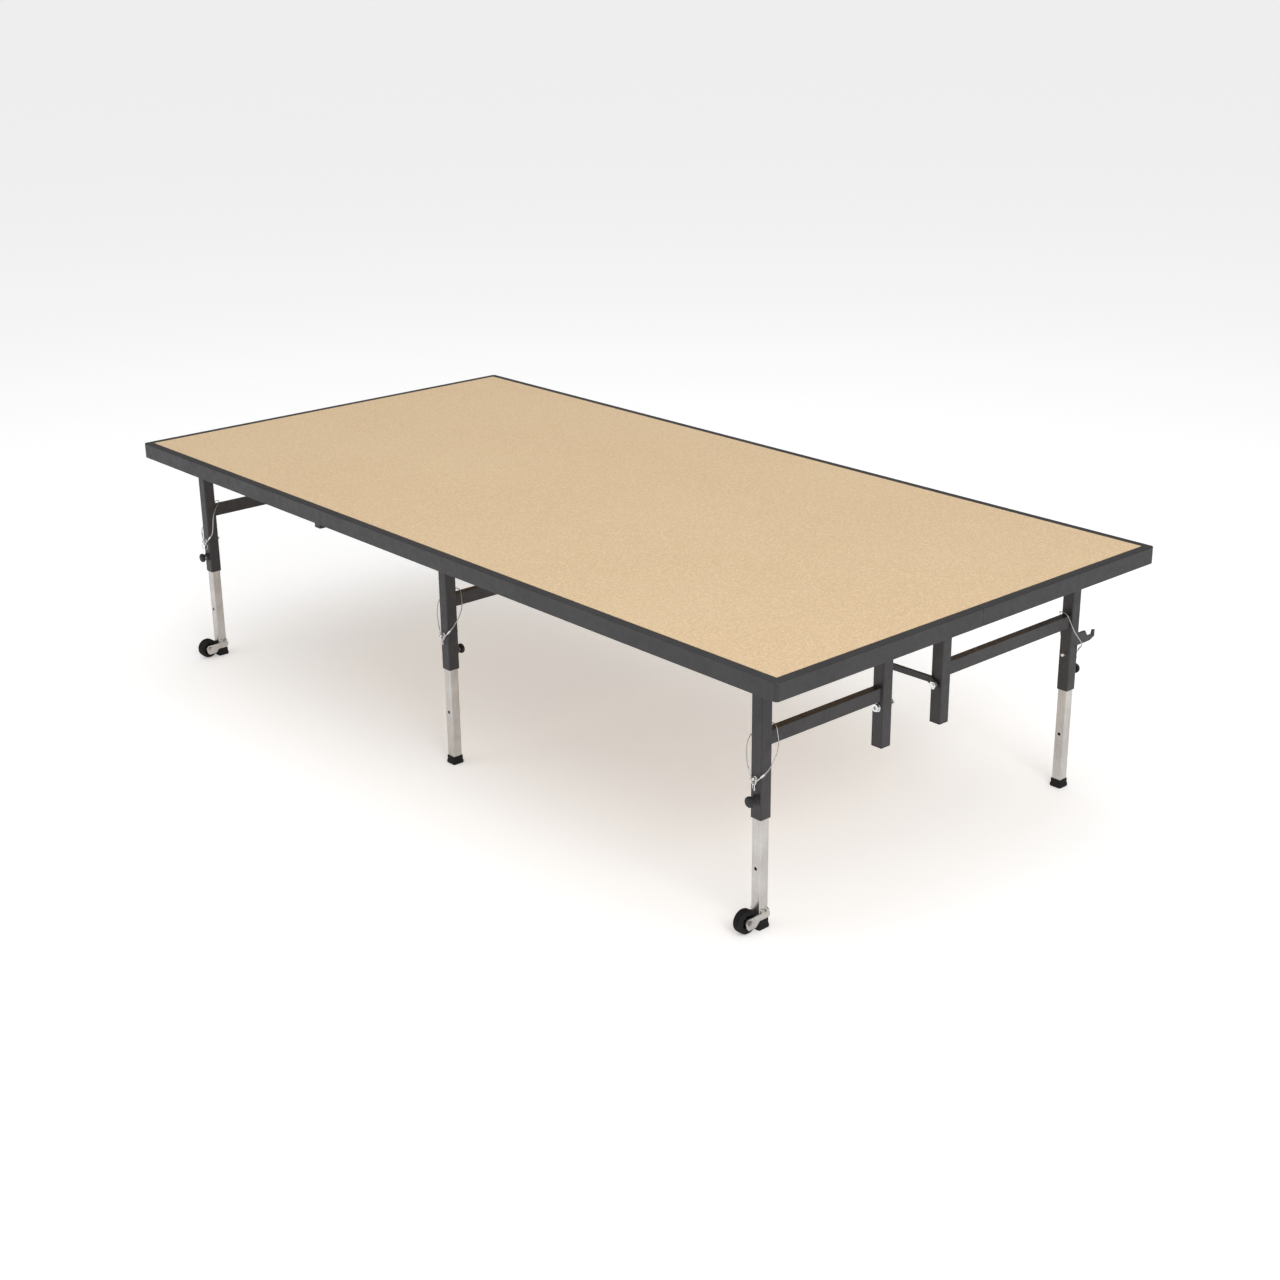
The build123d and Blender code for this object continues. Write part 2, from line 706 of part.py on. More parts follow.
# The lanyard's route from the ferrule on the side away from the fold, over the crossbar, to the
# ferrule on the fold side
LANYARD = [
    tuple(ferrule_run(1)[1](FERRULE_END)),
    tuple(ferrule_run(1)[1](FERRULE_END + 8.5)),
    (31.5, 2, 376),
    (30.5, -12, 391),
    (26, -23, 410),
    (18, -27, 430),
    (9, -31, 447),
    (-9, -31, 447),
    (-18, -19, 441),
    (-28, -1, 426),
    (-33, 6, 411),
    (-34, 9, 393),
    (-32, 10, 376),
    tuple(ferrule_run(-1)[1](FERRULE_END + 8.5)),
    tuple(ferrule_run(-1)[1](FERRULE_END)),
]


def corner_radii(points):
    """Radius for each corner: 0.45 of its shorter run over the tangent of half its turn."""
    radii = []
    for before, here, after in zip(points, points[1:], points[2:]):
        run_in = Vector(here) - Vector(before)
        run_out = Vector(after) - Vector(here)
        turn = run_in.get_angle(run_out)
        shorter = min(run_in.length, run_out.length)
        radii.append(0.45 * shorter / tan(radians(turn) / 2))
    return radii


LANYARD_RADII = corner_radii(LANYARD)


def lanyard():
    """Wire rope from one ferrule round the leg, over the crossbar, to the other ferrule."""
    with BuildPart() as rope:
        with BuildLine():
            route = FilletPolyline(*LANYARD, radius=LANYARD_RADII)
        with BuildSketch(Plane(origin=route @ 0, z_dir=route % 0)):
            Circle(ROPE_D / 2)
        sweep()
    return rope.part, route.length


rope_solid, rope_length = lanyard()
print("lanyard radii", [round(r, 1) for r in LANYARD_RADII])
print("lanyard length", round(rope_length, 1), "volume", round(rope_solid.volume, 1),
      "section x length", round(pi * (ROPE_D / 2) ** 2 * rope_length, 1))

for station, place in STATIONS.items():
    for side in SIDES:
        name = f"{station}_{side}"
        save(at_leg(inner_leg(), station, side), f"{name}_inner_leg")
        save(at_leg(foot(), station, side), f"{name}_foot")
        save_group([at_leg(solid, station, side) for solid in lock_pin()], f"{name}_lock_pin")
        save(at_leg(clamp_knob(place["knob_inside"]), station, side), f"{name}_clamp_knob")
        save(at_leg(rope_solid, station, side), f"{name}_lanyard")

# ---------------------------------------------------------------- transport wheels


def wheel():
    """Rubber-tyred wheel with a hub, turning on the axle, in the leg's own axes."""
    with BuildPart() as tyre:
        with Locations(Plane(origin=(0, WHEEL_OUT, WHEEL_Z), z_dir=(1, 0, 0))):
            Cylinder(WHEEL_R, WHEEL_W)
        rims = tyre.edges().filter_by(GeomType.CIRCLE)
        fillet(rims, TYRE_EDGE)
        for side in (-1, 1):
            dish = side * (WHEEL_W - DISH_DEPTH) / 2
            with Locations(Plane(origin=(dish, WHEEL_OUT, WHEEL_Z), z_dir=(1, 0, 0))):
                Cylinder(DISH_R, DISH_DEPTH, mode=Mode.SUBTRACT)
                Cylinder(HUB_R, DISH_DEPTH)
        with Locations(Plane(origin=(0, WHEEL_OUT, WHEEL_Z), z_dir=(1, 0, 0))):
            Cylinder(AXLE_R + AXLE_FIT, 2 * WHEEL_W, mode=Mode.SUBTRACT)
    return tyre.part


def fork():
    """Two plates on the inner leg that hold the wheel, with the axle and two bolts, as solids."""
    solids = []
    inside = INNER / 2 + FORK_GAP
    for side in (-1, 1):
        with BuildPart() as plate:
            with BuildSketch(Plane.YZ.offset(side * (inside + FORK_T / 2))) as outline:
                with BuildLine():
                    Polyline(*FORK_OUTLINE, close=True)
                make_face()
                fillet(outline.vertices(), FORK_CORNER_R)
                with Locations(*[(y, FORK_BOLT_Z) for y in FORK_BOLTS_Y]):
                    Circle(FORK_EAR_R)
            extrude(amount=FORK_T / 2, both=True)
            with Locations(Plane(origin=(0, WHEEL_OUT, WHEEL_Z), z_dir=(1, 0, 0))):
                Cylinder(AXLE_R + AXLE_FIT / 2, 2 * TUBE, mode=Mode.SUBTRACT)
        solids.append(plate.part)
        for y in FORK_BOLTS_Y:
            with BuildPart() as head:
                with BuildSketch(Plane.YZ.offset(side * (inside + FORK_T))):
                    with Locations((y, FORK_BOLT_Z)):
                        Circle(FORK_BOLT_R)
                extrude(amount=side * FORK_BOLT_T)
                fillet(head.edges().filter_by(GeomType.CIRCLE).sort_by(Axis.X)[-1 if side > 0 else 0], 1.4)
            solids.append(head.part)
    with BuildPart() as axle:
        with Locations(Plane(origin=(0, WHEEL_OUT, WHEEL_Z), z_dir=(1, 0, 0))):
            Cylinder(AXLE_R, 2 * (inside + FORK_T + AXLE_NUT_T + AXLE_END))
        for side in (-1, 1):
            with BuildSketch(Plane.YZ.offset(side * (inside + FORK_T))):
                with Locations((WHEEL_OUT, WHEEL_Z)):
                    RegularPolygon(AXLE_NUT / 2, 6, major_radius=False)
            extrude(amount=side * AXLE_NUT_T)
    solids.append(axle.part)
    return solids


for station in ("right", "left"):
    save(at_leg(wheel(), station, "near"), f"{station}_wheel")
    save_group([at_leg(solid, station, "near") for solid in fork()], f"{station}_wheel_fork")
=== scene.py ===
import json
import math
import random

import bmesh
import bpy
from mathutils import Matrix, Vector


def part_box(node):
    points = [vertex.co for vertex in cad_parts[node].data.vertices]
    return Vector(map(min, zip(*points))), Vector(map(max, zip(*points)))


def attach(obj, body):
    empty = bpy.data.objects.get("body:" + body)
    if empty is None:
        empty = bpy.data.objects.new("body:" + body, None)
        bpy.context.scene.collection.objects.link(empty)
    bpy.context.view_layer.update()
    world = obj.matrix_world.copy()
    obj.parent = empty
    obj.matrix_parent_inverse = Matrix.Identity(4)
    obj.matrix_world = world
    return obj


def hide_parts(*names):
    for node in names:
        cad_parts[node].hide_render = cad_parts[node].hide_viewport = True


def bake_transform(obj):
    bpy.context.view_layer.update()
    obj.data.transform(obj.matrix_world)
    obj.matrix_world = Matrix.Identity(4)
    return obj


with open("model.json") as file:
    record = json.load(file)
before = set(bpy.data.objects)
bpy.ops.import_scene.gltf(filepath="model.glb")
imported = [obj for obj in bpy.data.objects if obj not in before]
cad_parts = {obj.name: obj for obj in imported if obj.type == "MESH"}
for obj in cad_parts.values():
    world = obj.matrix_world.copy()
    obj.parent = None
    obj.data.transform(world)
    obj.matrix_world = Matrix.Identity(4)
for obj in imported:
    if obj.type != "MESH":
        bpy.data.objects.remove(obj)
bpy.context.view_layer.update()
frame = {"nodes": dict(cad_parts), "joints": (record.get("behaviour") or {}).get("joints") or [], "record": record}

# The looks of a folding stage riser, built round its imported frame. Lengths are metres in the frame;
# small pieces are drawn in millimetres in their leg's own axes: x away from the side that the leg
# folds to, y outward to the nearer long rail, z up, from the floor under the leg's centre.

MM = 0.001
NODES = frame["nodes"]
STATIONS = ("right", "mid", "left")
SIDES = ("near", "far")
WHEELED = ("right", "left")
DICE = random.Random(7)

# Sizes in millimetres, the same as the CAD's: lock pin and ring, clamp knob, rope, leg tubes, wheel
PIN_Z = 340.0
KNOB_Z = 293.0
EYE_OUT = 21.0
LINK_R = 6.0
RING_R = 8.25
RING_RISE = 4.0
RING_TURN = 32.0
BOSS_FACE = 21.0
KNOB_BACK = 27.5
KNOB_FRONT = 37.5
ROPE_R = 1.2
LOOP_R = 3.6
LOOP_X = 6.34
LOOP_Z = 335.82
FERRULE_START = 16.0
FERRULE_END = 28.0
CROSSBAR_Z = (408.0, 438.0)
CROSSBAR_HALF = 10.0
TUBE_HALF = 15.0
SPANS = {"near": 360.0, "far": 462.0}
WHEEL_OUT = 41.5
WHEEL_Z = 27.5

# ---------------------------------------------------------------- camera


CAMERA_ANGLES = (48.43, 20.57, -0.58)
CAMERA_TARGET = (0.255, -0.095, 0.300)
CAMERA_DISTANCE = 4.696
LENS = 54.05
SENSOR = 36.0
VIEW_REACH = 300.0


def add_object(name, data):
    """A new object with that data, in the scene."""
    made = bpy.data.objects.new(name, data)
    bpy.context.scene.collection.objects.link(made)
    return made


def make_camera():
    """A camera at the photograph's angle and distance, turned slightly about its own axis."""
    azimuth, elevation, roll = (math.radians(angle) for angle in CAMERA_ANGLES)
    back = Vector((
        math.sin(azimuth) * math.cos(elevation),
        -math.cos(azimuth) * math.cos(elevation),
        math.sin(elevation),
    ))
    level = Vector((math.cos(azimuth), math.sin(azimuth), 0))
    up = back.cross(level)
    right = math.cos(roll) * level + math.sin(roll) * up
    top = math.cos(roll) * up - math.sin(roll) * level
    data = bpy.data.cameras.new("camera")
    data.lens = LENS
    data.sensor_width = SENSOR
    data.clip_end = VIEW_REACH
    camera = add_object("camera", data)
    turned = Matrix((right, top, back)).transposed().to_4x4()
    camera.matrix_world = Matrix.Translation(Vector(CAMERA_TARGET) + back * CAMERA_DISTANCE) @ turned
    bpy.context.scene.camera = camera


make_camera()

# ---------------------------------------------------------------- mesh helpers

SMOOTH_BELOW = 35.0
ROUND_ABOVE = 40.0


def circle(count):
    """Angles of that many even steps round a circle."""
    return [math.tau * k / count for k in range(count)]


def closed_mesh(name, points, faces):
    """A mesh of closed surfaces with its normals turned outward."""
    mesh = bpy.data.meshes.new(name)
    mesh.from_pydata(points, [], faces)
    shape = bmesh.new()
    shape.from_mesh(mesh)
    bmesh.ops.recalc_face_normals(shape, faces=shape.faces)
    shape.to_mesh(mesh)
    shape.free()
    return mesh


class Leg:
    """Where one telescoping leg stands and which way its own axes point."""

    def __init__(self, station, side):
        self.station = station
        self.side = side
        self.name = f"{station}_{side}"
        low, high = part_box(f"{self.name}_inner_leg")
        self.x, self.y = (low.x + high.x) / 2, (low.y + high.y) / 2
        hinge = next(j for j in frame["joints"] if j["name"] == f"{station}_fold")
        self.fold = 1 if self.x > hinge["pos_m"][0] else -1
        self.out = 1 if self.y > 0 else -1
        low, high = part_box(f"{self.name}_clamp_knob")
        self.knob = 1 if ((low.y + high.y) / 2 - self.y) * self.out > 0 else -1

    def place(self, point):
        """A point in the leg's own axes, in millimetres, as a point in the frame."""
        x, y, z = point
        return (self.x + self.fold * x * MM, self.y + self.out * y * MM, z * MM)

    def body(self, part=None):
        """The body of one of the leg's moving parts, or of its whole leg set."""
        return f"{self.name}_{part}" if part else f"{self.station}_leg_set"


LEGS = [Leg(station, side) for station in STATIONS for side in SIDES]


class Shell:
    """Collects closed surfaces and turns them into one object."""

    def __init__(self):
        self.verts = []
        self.faces = []

    def loft(self, rings, loop=False):
        """Joins rings of equal count, closing the ends with caps unless the rings form a loop."""
        start = len(self.verts)
        count = len(rings[0])
        for ring in rings:
            self.verts.extend(ring)
        steps = len(rings) if loop else len(rings) - 1
        for i in range(steps):
            a = start + i * count
            b = start + ((i + 1) % len(rings)) * count
            for k in range(count):
                m = (k + 1) % count
                self.faces.append((a + k, a + m, b + m, b + k))
        if not loop:
            self.faces.append(tuple(start + k for k in range(count)))
            last = start + (len(rings) - 1) * count
            self.faces.append(tuple(last + k for k in reversed(range(count))))

    def lathe(self, origin, axis, profile, count=48, loop=False, wobble=None):
        """Turns (distance along the axis, radius) pairs round an axis; wobble changes the radius."""
        axis = Vector(axis).normalized()
        side = axis.orthogonal().normalized()
        other = axis.cross(side)
        rings = []
        for along, radius in profile:
            ring = []
            for turn in circle(count):
                r = radius + (wobble(along, radius, turn) if wobble else 0)
                spoke = side * math.cos(turn) + other * math.sin(turn)
                ring.append(Vector(origin) + axis * along + spoke * r)
            rings.append(ring)
        self.loft(rings, loop)

    def tube(self, points, radius, count=12, loop=False, wobble=None):
        """A round bar along a line of points; wobble(step, turn) changes its radius."""
        points = [Vector(p) for p in points]
        side = None
        rings = []
        for i, here in enumerate(points):
            after = points[(i + 1) % len(points)] if loop or i + 1 < len(points) else here
            before = points[i - 1] if loop or i else here
            along = (after - before).normalized()
            if side is None:
                side = along.orthogonal()
            side = (side - along * side.dot(along)).normalized()
            other = along.cross(side)
            ring = []
            for turn in circle(count):
                r = radius + (wobble(i, turn) if wobble else 0)
                ring.append(here + (side * math.cos(turn) + other * math.sin(turn)) * r)
            rings.append(ring)
        self.loft(rings, loop)

    def make(self, name, material, body, leg=None, sharp=SMOOTH_BELOW, bevel=0.0):
        """The finished piece, riding on its body unless body is None."""
        points = [leg.place(v) for v in self.verts] if leg else [tuple(v) for v in self.verts]
        mesh = closed_mesh(name, points, self.faces)
        for face in mesh.polygons:
            face.use_smooth = True
        mesh.set_sharp_from_angle(angle=math.radians(sharp))
        mesh.materials.append(material)
        piece = add_object(name, mesh)
        if bevel:
            round_edges(piece, bevel)
        if body is not None:
            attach(piece, body)
        return piece


def round_edges(piece, width):
    """A small round on every hard edge, so that edges catch the light."""
    edge = piece.modifiers.new("edge_round", "BEVEL")
    edge.width = width
    edge.segments = 2
    edge.limit_method = "ANGLE"
    edge.angle_limit = math.radians(ROUND_ABOVE)
    edge.harden_normals = False


# ---------------------------------------------------------------- materials

COATING_IOR = 1.5


class Paint:
    """A material's node tree with short calls for the nodes that every finish here uses."""

    def __init__(self, name, rough, metal=0.0, specular=None):
        self.material = bpy.data.materials.new(name)
        self.material.use_nodes = True
        self.tree = self.material.node_tree
        self.shader = self.tree.nodes["Principled BSDF"]
        self.shader.inputs["Metallic"].default_value = metal
        self.shader.inputs["Roughness"].default_value = rough
        self.shader.inputs["IOR"].default_value = COATING_IOR
        if specular is not None:
            self.shader.inputs["Specular IOR Level"].default_value = specular
        self.coords = self.tree.nodes.new("ShaderNodeTexCoord").outputs["Object"]
        self.bump_normal = None

    def link(self, out, into):
        """Feeds one socket into another."""
        self.tree.links.new(out, into)

    def stretched(self, scale):
        """Object coordinates scaled differently along x, y and z."""
        mapping = self.tree.nodes.new("ShaderNodeMapping")
        mapping.inputs["Scale"].default_value = scale
        self.link(self.coords, mapping.inputs["Vector"])
        return mapping.outputs["Vector"]

    def noise(self, scale, detail=3.0, roughness=0.5, vector=None, distortion=0.0):
        """Cloudy noise from 0 to 1, with about that many features a metre."""
        node = self.tree.nodes.new("ShaderNodeTexNoise")
        node.inputs["Scale"].default_value = scale
        node.inputs["Detail"].default_value = detail
        node.inputs["Roughness"].default_value = roughness
        node.inputs["Distortion"].default_value = distortion
        self.link(vector or self.coords, node.inputs["Vector"])
        return node.outputs["Fac"]

    def ramp(self, value, stops):
        """Colours or greys at places from 0 to 1 along a value."""
        node = self.tree.nodes.new("ShaderNodeValToRGB")
        marks = node.color_ramp.elements
        while len(marks) < len(stops):
            marks.new(0.5)
        for mark, (place, colour) in zip(marks, stops):
            mark.position = place
            mark.color = (*colour, 1.0) if isinstance(colour, tuple) else (colour,) * 3 + (1.0,)
        self.link(value, node.inputs["Fac"])
        return node.outputs["Color"]

    def mix(self, share, first, second):
        """First turning to second by a share from 0 to 1; each is a socket or a plain value."""
        node = self.tree.nodes.new("ShaderNodeMix")
        node.data_type = "RGBA"
        for value, socket in ((share, node.inputs[0]), (first, node.inputs[6]), (second, node.inputs[7])):
            if isinstance(value, bpy.types.NodeSocket):
                self.link(value, socket)
            elif isinstance(value, tuple):
                socket.default_value = (*value, 1.0)
            else:
                socket.default_value = value
        return node.outputs[2]

    def colour(self, value):
        """Sets the surface's colour."""
        self.link(value, self.shader.inputs["Base Color"])

    def rough(self, value):
        """Sets the surface's roughness."""
        self.link(value, self.shader.inputs["Roughness"])

    def bump(self, height, depth, strength=1.0):
        """Adds relief of that depth in metres on top of what is there."""
        node = self.tree.nodes.new("ShaderNodeBump")
        node.inputs["Strength"].default_value = strength
        node.inputs["Distance"].default_value = depth
        self.link(height, node.inputs["Height"])
        if self.bump_normal is not None:
            self.link(self.bump_normal, node.inputs["Normal"])
        self.bump_normal = node.outputs["Normal"]
        self.link(self.bump_normal, self.shader.inputs["Normal"])


def powder_coat(name, dark, light):
    """Black semi-gloss powder coat: orange peel, faint dust and a few rubbed places."""
    paint = Paint(name, 0.42)
    cloud = paint.noise(6.0, 5.0, 0.6)
    base = paint.mix(paint.ramp(cloud, [(0.3, 0.0), (0.7, 1.0)]), dark, light)
    speck = paint.noise(420.0, 2.0, 0.6)
    dusted = paint.mix(paint.ramp(speck, [(0.62, 0.0), (0.72, 0.25)]), base, (0.16, 0.15, 0.15))
    scratch = paint.noise(5.0, 8.0, 0.75, paint.stretched((1.0, 1.0, 9.0)), 1.5)
    rubbed = paint.ramp(scratch, [(0.66, 0.0), (0.70, 0.25), (0.74, 0.0)])
    paint.colour(paint.mix(rubbed, dusted, (0.17, 0.165, 0.17)))
    paint.rough(paint.ramp(paint.noise(60.0, 4.0, 0.6), [(0.3, 0.36), (0.7, 0.52)]))
    paint.bump(paint.noise(900.0, 2.0, 0.5), 0.00007)
    paint.bump(paint.noise(170.0, 2.0, 0.4), 0.00010)
    return paint.material


def hardboard():
    """Tan hardboard: pressed-fibre speckle, dark and pale flakes, faint clouds and foot scuffs."""
    paint = Paint("tan_hardboard", 0.6)
    fibre = paint.noise(1500.0, 4.0, 0.7)
    grain = paint.ramp(fibre, [(0.30, (0.640, 0.438, 0.240)), (0.50, (0.775, 0.562, 0.333)),
                               (0.72, (0.865, 0.660, 0.416))])
    flake = paint.noise(200.0, 3.0, 0.75, paint.stretched((1.0, 1.8, 1.0)))
    flaked = paint.mix(paint.ramp(flake, [(0.47, 0.0), (0.62, 0.6)]), grain, (0.60, 0.405, 0.225))
    pale = paint.noise(170.0, 3.0, 0.7, paint.stretched((1.5, 1.0, 1.0)))
    flaked = paint.mix(paint.ramp(pale, [(0.47, 0.0), (0.62, 0.7)]), flaked, (0.92, 0.705, 0.455))
    cloud = paint.noise(2.2, 4.0, 0.55)
    toned = paint.mix(paint.ramp(cloud, [(0.35, 0.0), (0.7, 0.16)]), flaked, (0.86, 0.68, 0.44))
    scuff = paint.noise(7.0, 9.0, 0.8, paint.stretched((1.0, 3.0, 1.0)), 2.0)
    worn = paint.ramp(scuff, [(0.70, 0.0), (0.73, 0.10), (0.76, 0.0)])
    paint.colour(paint.mix(worn, toned, (0.42, 0.30, 0.18)))
    paint.rough(paint.ramp(paint.noise(35.0, 5.0, 0.6), [(0.3, 0.50), (0.7, 0.66)]))
    paint.bump(fibre, 0.00006)
    paint.bump(paint.noise(150.0, 2.0, 0.6), 0.0003)
    paint.bump(paint.noise(8.0, 2.0, 0.5), 0.0004, 0.35)
    return paint.material


def plywood():
    """Raw plywood: long rays of grain along the board with darker growth lines."""
    paint = Paint("raw_plywood", 0.75)
    long_grain = paint.stretched((1.3, 18.0, 18.0))
    waves = paint.noise(4.0, 6.0, 0.6, long_grain, 0.8)
    wood = paint.ramp(waves, [(0.25, (0.36, 0.235, 0.12)), (0.5, (0.55, 0.385, 0.215)),
                              (0.75, (0.67, 0.50, 0.30))])
    pores = paint.noise(30.0, 3.0, 0.6, paint.stretched((2.0, 40.0, 40.0)))
    paint.colour(paint.mix(paint.ramp(pores, [(0.6, 0.0), (0.75, 0.45)]), wood, (0.27, 0.165, 0.08)))
    paint.bump(pores, 0.0002)
    return paint.material


def zinc():
    """Bright zinc plate on drawn tube: lengthwise draw marks, cloudy passivation, light wear."""
    paint = Paint("zinc_plate", 0.34, metal=0.9)
    drawn = paint.stretched((60.0, 60.0, 1.2))
    marks = paint.noise(12.0, 4.0, 0.6, drawn)
    cloud = paint.noise(16.0, 5.0, 0.65)
    base = paint.ramp(cloud, [(0.3, (0.47, 0.45, 0.43)), (0.7, (0.62, 0.60, 0.58))])
    paint.colour(paint.mix(paint.ramp(marks, [(0.35, 0.0), (0.8, 0.4)]), base, (0.37, 0.355, 0.34)))
    paint.rough(paint.ramp(marks, [(0.3, 0.22), (0.7, 0.38)]))
    paint.bump(marks, 0.00004)
    return paint.material


def bright_steel(name, tint, rough):
    """Plated steel fittings with a fine machined haze."""
    paint = Paint(name, rough, metal=1.0)
    haze = paint.noise(240.0, 4.0, 0.6)
    paint.colour(paint.ramp(haze, [(0.3, tuple(c * 0.82 for c in tint)), (0.7, tint)]))
    paint.rough(paint.ramp(paint.noise(90.0, 3.0, 0.6), [(0.3, rough * 0.7), (0.7, rough * 1.4)]))
    paint.bump(haze, 0.00002)
    return paint.material


def rubber():
    """Matt black rubber with a chalky bloom and a fine moulded grain."""
    paint = Paint("black_rubber", 0.78, specular=0.28)
    bloom = paint.noise(45.0, 6.0, 0.7)
    paint.colour(paint.ramp(bloom, [(0.35, (0.005, 0.005, 0.0055)), (0.75, (0.016, 0.0155, 0.016))]))
    paint.rough(paint.ramp(bloom, [(0.3, 0.66), (0.7, 0.86)]))
    paint.bump(paint.noise(1300.0, 3.0, 0.6), 0.00006)
    return paint.material


def moulded_plastic():
    """Black moulded plastic with a fine spark-eroded texture."""
    paint = Paint("black_plastic", 0.45, specular=0.4)
    tone = paint.noise(80.0, 4.0, 0.6)
    paint.colour(paint.ramp(tone, [(0.3, (0.006, 0.006, 0.0065)), (0.7, (0.014, 0.0135, 0.014))]))
    paint.rough(paint.ramp(paint.noise(700.0, 2.0, 0.5), [(0.3, 0.38), (0.7, 0.56)]))
    paint.bump(paint.noise(1800.0, 3.0, 0.6), 0.00005)
    return paint.material


RAIL_BLACK = powder_coat("rail_powder_coat", (0.014, 0.0125, 0.014), (0.026, 0.024, 0.026))
FRAME_BLACK = powder_coat("frame_powder_coat", (0.015, 0.013, 0.0145), (0.028, 0.025, 0.027))
TAN_BOARD = hardboard()
PLYWOOD = plywood()
ZINC = zinc()
BRIGHT = bright_steel("bright_plate", (0.86, 0.86, 0.87), 0.20)
NICKEL = bright_steel("nickel_plate", (0.80, 0.78, 0.75), 0.26)
ROPE_STEEL = bright_steel("rope_steel", (0.56, 0.55, 0.53), 0.30)
RUBBER = rubber()
PLASTIC = moulded_plastic()
BY_SLOT = {
    "rail_black": RAIL_BLACK,
    "frame_black": FRAME_BLACK,
    "board_tan": TAN_BOARD,
    "plywood": PLYWOOD,
    "zinc_steel": ZINC,
    "bright_steel": BRIGHT,
    "rubber_black": RUBBER,
    "plastic_black": PLASTIC,
    "wire_rope": ROPE_STEEL,
}

# ---------------------------------------------------------------- lanyards

ROPE_AIM = (0.62, -0.26, 0.74)
STRAIGHT_END = 8.5
STRANDS = 6
STRAND_DEPTH = 0.00028
LAY_LENGTH = 0.014
ROPE_STEP = 0.0007


def ferrule_run(side):
    """Direction of one lanyard end as it leaves the link, and a function for points along it."""
    x, y, z = ROPE_AIM
    along = Vector((side * x, y, z)).normalized()
    start = Vector((side * LOOP_X, EYE_OUT, LOOP_Z))
    return along, lambda distance: start + along * distance


ROUTE = [
    ferrule_run(1)[1](FERRULE_END),
    ferrule_run(1)[1](FERRULE_END + STRAIGHT_END),
    (31.5, 2, 376),
    (30.5, -12, 391),
    (26, -23, 410),
    (18, -27, 430),
    (9, -31, 447),
    (-9, -31, 447),
    (-18, -19, 441),
    (-28, -1, 426),
    (-33, 6, 411),
    (-34, 9, 393),
    (-32, 10, 376),
    ferrule_run(-1)[1](FERRULE_END + STRAIGHT_END),
    ferrule_run(-1)[1](FERRULE_END),
]


def smooth_line(name, route):
    """The points of the smooth line that has the route as its control points."""
    data = bpy.data.curves.new(name, "CURVE")
    data.dimensions = "3D"
    spline = data.splines.new("NURBS")
    spline.points.add(len(route) - 1)
    for mark, point in zip(spline.points, route):
        mark.co = (*point, 1.0)
    spline.order_u = 3
    spline.use_endpoint_u = True
    spline.resolution_u = 16
    holder = add_object(name, data)
    line = bpy.data.meshes.new_from_object(holder)
    points = [v.co.copy() for v in line.vertices]
    bpy.data.objects.remove(holder)
    bpy.data.meshes.remove(line)
    return points


def evenly(points, step):
    """The same line with points a fixed step apart."""
    gaps = [(b - a).length for a, b in zip(points, points[1:])]
    total = sum(gaps)
    count = max(2, round(total / step))
    line = []
    i, passed = 0, 0.0
    for k in range(count + 1):
        want = total * k / count
        while i < len(gaps) - 1 and passed + gaps[i] < want:
            passed += gaps[i]
            i += 1
        line.append(points[i].lerp(points[i + 1], min(1.0, (want - passed) / gaps[i])))
    return line


def lanyard(leg):
    """Stranded wire rope from one ferrule round the leg, over the crossbar, to the other."""
    route = [leg.place(point) for point in ROUTE]
    line = evenly(smooth_line(f"{leg.name}_line", route), ROPE_STEP)
    rope = Shell()

    def strand(i, turn):
        lay = math.tau * i * ROPE_STEP / LAY_LENGTH
        return -STRAND_DEPTH * (1 - abs(math.cos((turn + lay) * STRANDS / 2)))

    rope.tube(line, ROPE_R * MM, count=36, wobble=strand)
    piece = rope.make(f"{leg.name}_wire_rope", ROPE_STEEL, None, sharp=80)
    leg.body()
    leg.body("pin")
    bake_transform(piece)
    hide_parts(f"{leg.name}_lanyard")


for leg in LEGS:
    lanyard(leg)

# ---------------------------------------------------------------- CAD nodes that are shown

# Endings of the CAD nodes that visual pieces replace, and widths in metres of the others' rounded edges
REPLACED = ("_clamp_knob", "_lock_pin", "_lanyard", "_foot", "_wheel")
ROUNDED = {"_frame": 0.0005, "_brace": 0.0007, "_wheel_fork": 0.0006, "_inner_leg": 0.0003,
           "coupling_hook": 0.0008, "hinge_brackets": 0.0005, "brace_tracks": 0.0005}


def finish_cad_nodes():
    """Gives every kept CAD node the material of its slot, and rounds the hard edges of steel."""
    slots = {row["node"]: row["material_slot"] for row in frame["record"]["subparts"]}
    for name, node in NODES.items():
        node.data.materials.clear()
        node.data.materials.append(BY_SLOT[slots[name]])
        if name.endswith(REPLACED):
            continue
        for ending, width in ROUNDED.items():
            if name.endswith(ending):
                round_edges(node, width)


finish_cad_nodes()

# ---------------------------------------------------------------- lock pins

# Distance along the pin, outward from the leg's centre, and radius
PIN_PROFILE = [
    (-25.0, 1.6), (-24.6, 2.7), (-23.2, 3.95), (-21.6, 4.0), (-21.4, 3.55), (-20.0, 3.55),
    (-19.8, 4.0), (15.4, 4.0), (15.4, 5.2), (15.8, 5.6), (16.4, 5.6), (16.6, 5.3), (16.8, 5.6),
    (17.3, 5.5), (17.8, 4.9), (18.1, 3.6),
]
# Where the eye's flat tab is cut across, and its outline's reach there
TAB_STATIONS = ((-2.5, 3.6), (-2.1, 4.0), (2.1, 4.0), (2.5, 3.6))
TAB_ROOT = 17.6
EYE_R = 2.1
EYE_CUT = 12.0
LINK_WIRE_R = 1.0
RING_WIRE_R = 0.6
RING_PITCH = 1.16
RING_STEPS = 150
RING_START = 2.4


